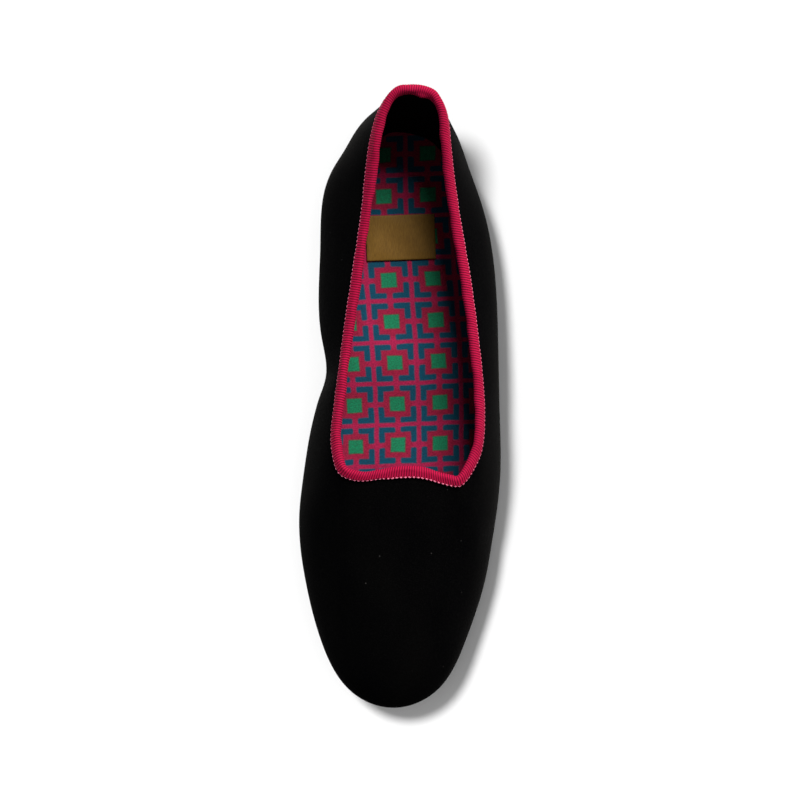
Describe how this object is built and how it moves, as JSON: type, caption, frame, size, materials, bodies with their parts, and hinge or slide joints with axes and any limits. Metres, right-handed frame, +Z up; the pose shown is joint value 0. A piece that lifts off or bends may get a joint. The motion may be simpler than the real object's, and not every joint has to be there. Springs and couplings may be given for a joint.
{
  "type": "velvet slipper",
  "caption": "Soft flat slipper: closed velvet upper with a ribbon-bound low collar, printed insole with a bare woven label, and a thin moulded rubber sole with cross-ribbed tread.",
  "frame": {"origin": "centre of the bounding box in plan, on the floor plane the sole stands on", "axes": "+Z up, +Y from toe to heel, +X to the outer side of the left foot"},
  "size_m": [0.0846, 0.257, 0.0617],
  "materials": {
    "sole_rubber": "black moulded rubber, fine pebble grain on the rim",
    "velvet": "black short-pile velvet",
    "grosgrain": "raspberry ribbed ribbon",
    "insole_print": "printed cotton twill",
    "label_satin": "bare gold satin weave"
  },
  "bodies": {
    "root": {"outsole": "sole_rubber", "upper": "velvet", "collar_binding": "grosgrain", "insole": "insole_print", "insole_label": "label_satin"}
  },
  "joints": []
}
